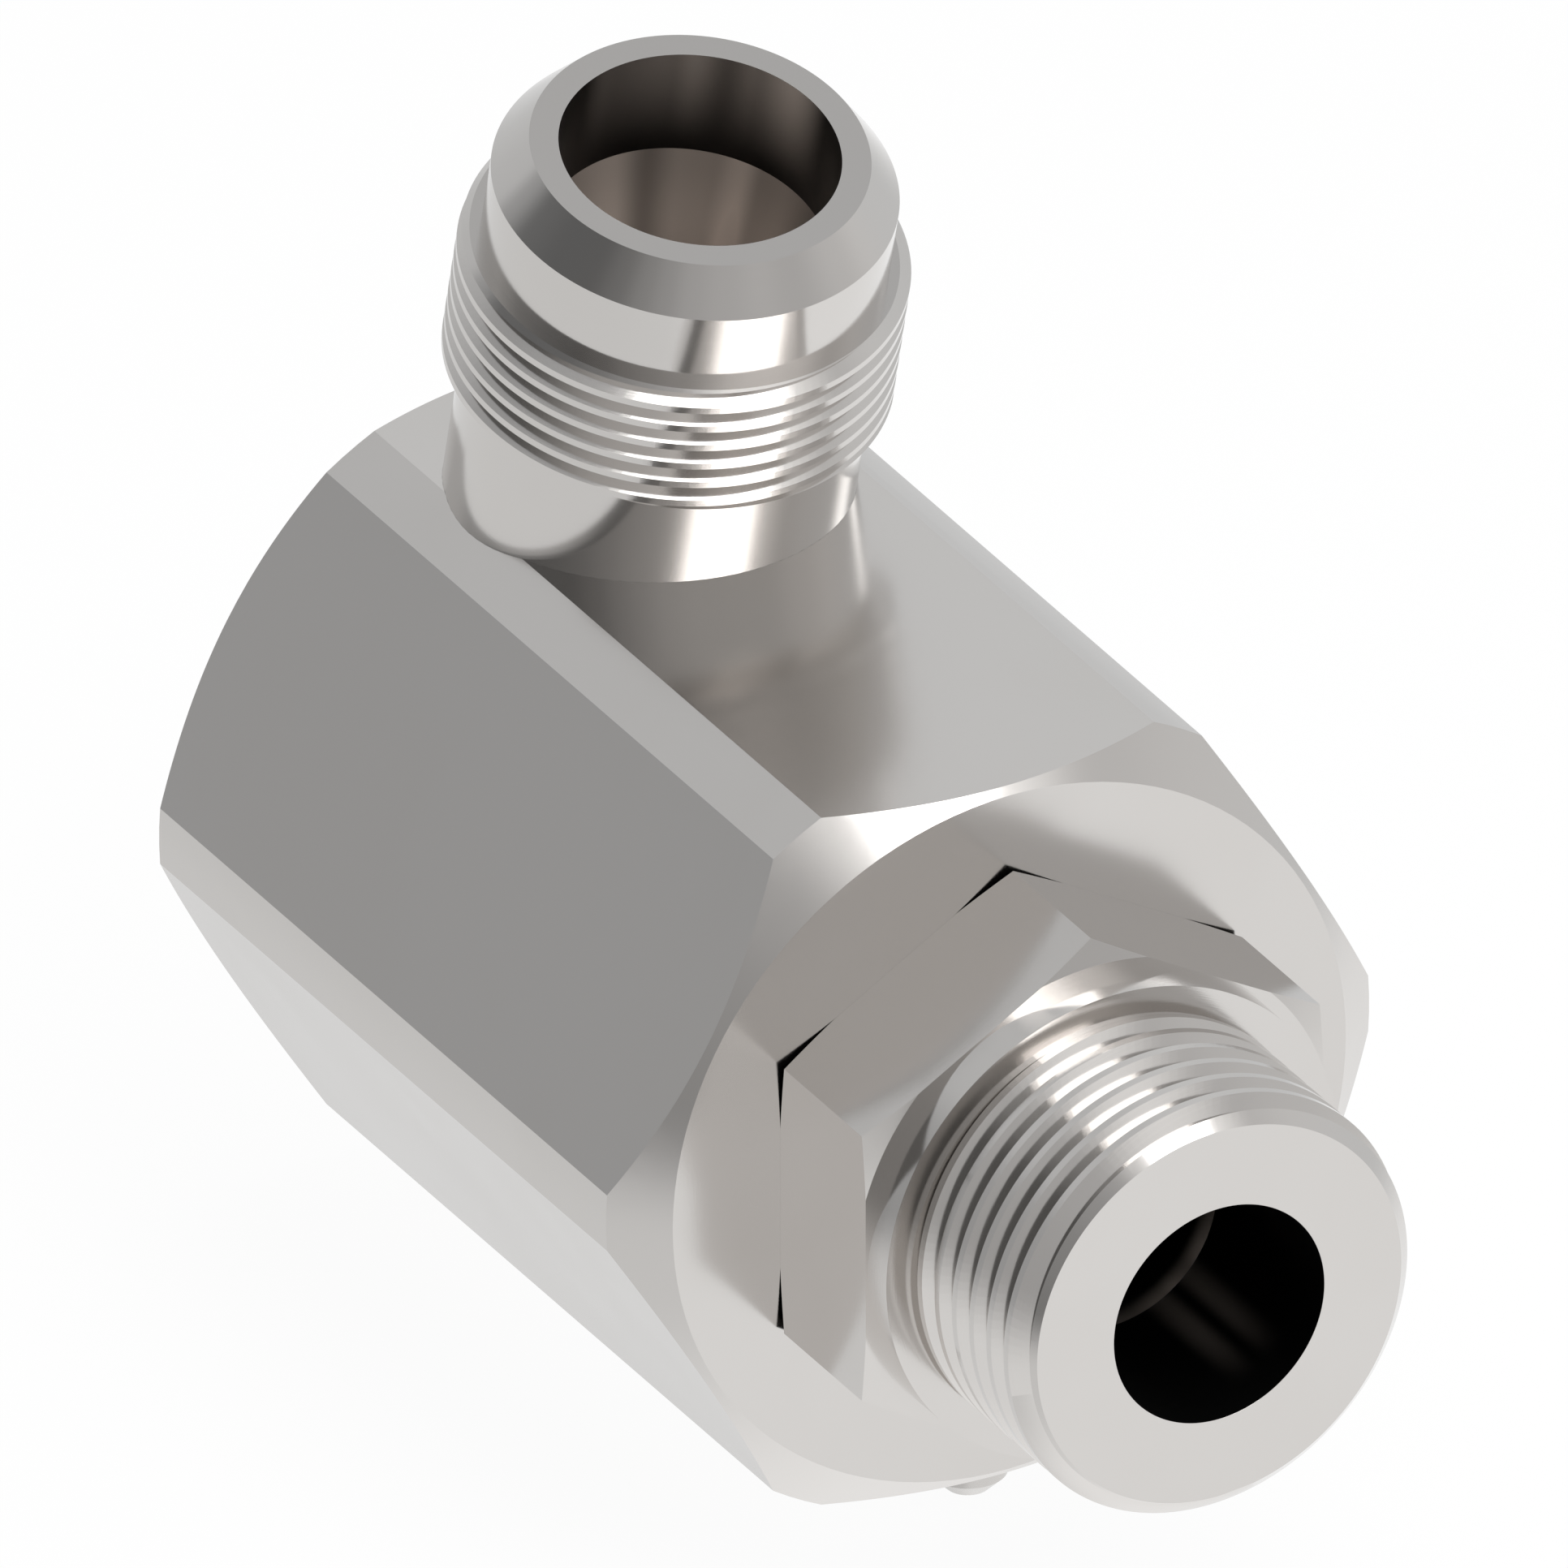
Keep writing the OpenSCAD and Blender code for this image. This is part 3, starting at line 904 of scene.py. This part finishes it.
@dataclass
class Studio:
    """The white sweep, the overhead panel, the surrounding room and the camera.

    view_width and floor_z are in millimetres, and the other sizes are in metres. A level of 1
    is white. The wall levels go by the angle about Z from +X, in degrees, and were worked out
    from brightnesses measured in the photograph. The room's other edges are parts of a
    direction whose length is 1.
    """

    view_centre: Vector = field(default_factory=lambda: Vector((-32.21, -17.61, 33.06)) * MM)
    view_width: float = 112.98
    azimuth: float = 60.0
    elevation: float = 30.0
    camera_distance: float = 0.5
    clip: Point = (0.01, 10.0)
    floor_z: float = -32.35
    floor_x: float = -0.05
    floor_size: float = 2.5
    floor_grey: float = 0.86
    floor_glow: float = 0.95
    panel_level: float = 2.6
    panel_size: Point = (0.95, 0.37)
    panel_place: Triple = (0.245, 0.075, 0.62)
    panel_turn: float = 12.0
    wall_levels: tuple[Point, ...] = (
        (-180, 0.70), (-160, 0.66), (-150, 0.65), (-139, 0.43), (-122, 0.18), (-98, 0.15),
        (-77, 0.15), (-62, 0.21), (-48, 0.31), (-38, 0.38), (-25, 0.47), (-10, 0.52),
        (28, 0.54), (55, 0.66), (75, 0.75), (95, 0.74), (118, 0.71), (136, 0.70), (150, 0.775),
        (164, 0.77), (180, 0.70))
    ceiling_edges: Point = (0.6, 0.95)
    ceiling_level: float = 0.45
    halo_azimuth: float = 16.5
    halo_height: float = 44.0
    halo_edges: Point = (0.857, 0.978)
    halo_level: float = 0.56
    strip_across: Triple = (-0.906, -0.423, 0.0)
    strip_edges: Point = (0.03, 0.16)
    strip_foot: Point = (0.34, 0.44)
    strip_head: Point = (0.60, 0.74)
    strip_level: float = 1.8
    sweep_top: float = -0.12
    sweep_turn: Point = (-0.3, 0.35)
    sweep_lows: Point = (-0.52, -0.46)
    window_way: Triple = (0.5, 0.87, 0.0)
    window_edges: Point = (-0.22, 0.12)
    sweep_levels: Point = (0.805, 1.01)
    under_edges: Point = (-0.7, -1.0)
    under_level: float = 0.12
    tint_edges: Point = (-0.1, 0.45)
    room_cool: Colour = (0.985, 1.0, 1.012)
    room_warm: Colour = (1.002, 1.0, 0.998)
    sweep_tint: Colour = (0.995, 1.0, 1.003)

    def build(self) -> None:
        """Sets up the whole studio."""
        self.camera()
        self.floor()
        self.panel()
        self.room()
        bpy.context.scene.view_settings.view_transform = "Standard"

    def camera(self) -> None:
        """Places the parallel camera at the photograph's view."""
        a = math.radians(self.azimuth)
        e = math.radians(self.elevation)
        back = Vector((math.sin(a) * math.cos(e), -math.cos(a) * math.cos(e), math.sin(e)))
        data = bpy.data.cameras.new("camera")
        data.type = "ORTHO"
        data.ortho_scale = self.view_width * MM
        data.clip_start, data.clip_end = self.clip
        camera = bpy.data.objects.new("camera", data)
        camera.rotation_mode = "QUATERNION"
        camera.rotation_quaternion = (-back).to_track_quat("-Z", "Y")
        camera.location = self.view_centre + back * self.camera_distance
        bpy.context.scene.collection.objects.link(camera)
        bpy.context.scene.camera = camera

    def floor(self) -> None:
        """Lays the white floor, which keeps a faint soft shadow."""
        shape = bmesh.new()
        bmesh.ops.create_grid(shape, x_segments=1, y_segments=1, size=self.floor_size)
        bmesh.ops.translate(shape, verts=shape.verts, vec=(self.floor_x, 0, self.floor_z * MM))
        mesh = bpy.data.meshes.new("floor")
        shape.to_mesh(mesh)
        shape.free()
        floor = bpy.data.objects.new("floor", mesh)
        bpy.context.scene.collection.objects.link(floor)
        material = bpy.data.materials.new("white_floor")
        material.use_nodes = True
        board = NodeBoard(material.node_tree)
        path = board.add("ShaderNodeLightPath")
        grey = (self.floor_grey, self.floor_grey, self.floor_grey, 1.0)
        plain = board.add("ShaderNodeBsdfDiffuse", {}, Color=grey)
        bright = board.add("ShaderNodeBsdfDiffuse", {}, Color=(1.0, 1.0, 1.0, 1.0))
        glow = board.add("ShaderNodeEmission", {}, Color=(1.0, 1.0, 1.0, 1.0), Strength=1.0)
        seen = board.add("ShaderNodeMixShader", {}, Fac=self.floor_glow, i1=bright.outputs[0],
                         i2=glow.outputs[0])
        mixed = board.add("ShaderNodeMixShader", {}, Fac=path.outputs["Is Camera Ray"],
                          i1=plain.outputs[0], i2=seen.outputs[0])
        board.add("ShaderNodeOutputMaterial", {}, Surface=mixed.outputs[0])
        mesh.materials.append(material)
        floor.visible_glossy = False

    def panel(self) -> None:
        """Hangs the long soft panel overhead."""
        data = bpy.data.lights.new("overhead_panel", "AREA")
        data.shape = "RECTANGLE"
        data.size, data.size_y = self.panel_size
        data.energy = self.panel_level * math.pi * data.size * data.size_y
        panel = bpy.data.objects.new("overhead_panel", data)
        panel.location = self.panel_place
        panel.rotation_euler = (0.0, 0.0, math.radians(self.panel_turn))
        bpy.context.scene.collection.objects.link(panel)

    def walls(self, board: NodeBoard, parts: bpy.types.Node) -> bpy.types.NodeSocket:
        """Adds the grey walls and the ceiling.

        Args:
            board: the world's board.
            parts: the node that separates the direction into x, y and z.

        Returns:
            The level.
        """
        x, y, z = parts.outputs[0], parts.outputs[1], parts.outputs[2]
        compass = board.math("MULTIPLY_ADD", board.math("ARCTAN2", y, x), 1 / math.tau, 0.5)
        wall = board.profile(compass, tuple((a / 360 + 0.5, v) for a, v in self.wall_levels))
        ceiling = board.ramp(z, *self.ceiling_edges, 0.0, 1.0)
        return board.mix_value(ceiling, wall, self.ceiling_level)

    def halo(self, board: NodeBoard, way: bpy.types.NodeSocket) -> bpy.types.NodeSocket:
        """Adds the soft round light high in the room.

        Args:
            board: the world's board.
            way: the direction.

        Returns:
            The level.
        """
        turn = Euler((0, -math.radians(self.halo_height), math.radians(self.halo_azimuth)))
        centre = turn.to_matrix() @ Vector((1, 0, 0))
        near = board.vector("DOT_PRODUCT", way, centre, out=1)
        return board.ramp(near, *self.halo_edges, 0.0, self.halo_level)

    def strip(self, board: NodeBoard, way: bpy.types.NodeSocket, parts: bpy.types.Node
              ) -> bpy.types.NodeSocket:
        """Adds the upright strip light on the far side.

        Args:
            board: the world's board.
            way: the direction.
            parts: the node that separates the direction into x, y and z.

        Returns:
            1 on the strip and 0 elsewhere, with soft edges.
        """
        y, z = parts.outputs[1], parts.outputs[2]
        across = board.vector("DOT_PRODUCT", way, self.strip_across, out=1)
        strip = board.ramp(board.math("ABSOLUTE", across), *self.strip_edges, 1.0, 0.0)
        strip = board.math("MULTIPLY", strip, board.ramp(z, *self.strip_foot, 0.0, 1.0))
        strip = board.math("MULTIPLY", strip, board.ramp(z, *self.strip_head, 1.0, 0.0))
        return board.math("MULTIPLY", strip, board.math("GREATER_THAN", y, 0.0))

    def sweep(self, board: NodeBoard, way: bpy.types.NodeSocket, z: bpy.types.NodeSocket
              ) -> bpy.types.NodeSocket:
        """Adds the white sweep as the metal mirrors it.

        Args:
            board: the world's board.
            way: the direction.
            z: the direction's height.

        Returns:
            The level.
        """
        window_side = board.vector("DOT_PRODUCT", way, self.window_way, out=1)
        level = board.ramp(window_side, *self.window_edges, *self.sweep_levels)
        return board.math("ADD", level, board.ramp(z, *self.under_edges, 0.0, self.under_level))

    def room(self) -> None:
        """Makes the room that the metal mirrors, white to the camera itself."""
        world = bpy.data.worlds.new("studio_room")
        bpy.context.scene.world = world
        world.use_nodes = True
        board = NodeBoard(world.node_tree)
        way = board.add("ShaderNodeTexCoord").outputs["Generated"]
        parts = board.add("ShaderNodeSeparateXYZ", Vector=way)
        x, y, z = parts.outputs[0], parts.outputs[1], parts.outputs[2]
        wall = board.math("ADD", self.walls(board, parts), self.halo(board, way))
        wall = board.math("MULTIPLY_ADD", self.strip(board, way, parts), self.strip_level, wall)
        low = board.ramp(y, *self.sweep_turn, *self.sweep_lows)
        on_sweep = board.ramp(z, self.sweep_top, low, 0.0, 1.0)
        path = board.add("ShaderNodeLightPath").outputs
        seen = board.math("MAXIMUM", path["Is Camera Ray"], path["Is Transmission Ray"])
        level = board.mix_value(seen, self.sweep(board, way, z), 1.0)
        mirrored = board.math("MAXIMUM", path["Is Glossy Ray"], path["Is Diffuse Ray"])
        seen = board.math("MAXIMUM", seen, board.math("MULTIPLY", mirrored, on_sweep))
        tint = board.mix_colour(board.ramp(x, *self.tint_edges, 0.0, 1.0),
                                (*self.room_cool, 1.0), (*self.room_warm, 1.0))
        room = board.add("ShaderNodeBackground", {}, Color=tint, Strength=wall)
        white = board.add("ShaderNodeBackground", {}, Color=(*self.sweep_tint, 1.0),
                          Strength=level)
        mixed = board.add("ShaderNodeMixShader", {}, Fac=seen, i1=room.outputs[0],
                          i2=white.outputs[0])
        board.add("ShaderNodeOutputWorld", {}, Surface=mixed.outputs[0])


def port_axes(port: FlarePort) -> tuple[Triple, Triple]:
    """Works out the Mapping values that lay the port's own axis along X.

    Args:
        port: the flare port.

    Returns:
        The rotation and the location, in radians and millimetres.
    """
    back = port.place.inverted()
    turn = back.to_euler("XYZ")
    return (turn.x, turn.y, turn.z), tuple(back.to_translation())


def build_stem() -> None:
    """Builds the three pieces of the stem in steel with painted shade and light in its bore."""
    stem = Stem()
    # Painted shade and painted light in the stem's bore
    stem_bore = PaintedBoreShade(
        stem.bore_radius, mouth=0.0, start=2.0, length=stem.bore_len, top=0.0, deep=1.0, fade=1.8,
        end=0.0, lit=-0.93,
        wall=((-90, 0.0), (-20, 0.0), (-8, 0.14), (0, 0.0), (8, 0.17), (20, 0.0), (90, 0.0)),
        taper=((-90, 0.1), (-25, 0.2), (-8, 0.45), (0, 0.65), (10, 0.45), (21, 0.75),
               (40, 0.35), (90, 0.1)))
    # Painted shade on the hexagon's rear corner chamfers
    corners = CornerShade(stem.hexagon_rear, stem.face_radius, stem.corner_slope)
    steel = MetalFinish("stem_steel", bore=stem_bore, corners=corners).material()
    stem.threaded_end(steel)
    stem.hexagon(steel)
    stem.shank(steel)


def build_port() -> None:
    """Builds the flare port in steel with painted shade and light in its bore."""
    port = FlarePort()
    turn, shift = port_axes(port)
    # Painted shade and painted light in the port's bore
    port_bore = PaintedBoreShade(
        port.bore_radius, mouth=port.reach, start=0.0, length=port.bore_len, top=1.0, deep=0.0,
        fade=7.0, end=1.5, lit=0.96,
        wall=((-90, 0.0), (-58, 0.0), (-36, 0.68), (-18, 0.3), (-6, 0.14), (7, 0.31), (16, 0.2),
              (45, 0.1), (60, 0.0), (90, 0.0)),
        taper=((-90, 0.05), (-60, 0.3), (-40, 0.55), (-28, 0.48), (-19, 0.78), (-6, 0.46),
               (6, 0.44), (21, 0.22), (36, 0.5), (60, 0.35), (90, 0.05)))
    port.build(MetalFinish("port_steel", bore=port_bore, axis_turn=turn,
                           axis_shift=shift).material())


def main() -> None:
    """Builds and dresses the fitting."""
    logging.basicConfig(level=logging.INFO, format="%(name)s %(message)s")
    Studio().build()
    Body().build()
    build_stem()
    build_port()
    Bearing().build()
    Seals().build()


if __name__ == "__main__":
    main()
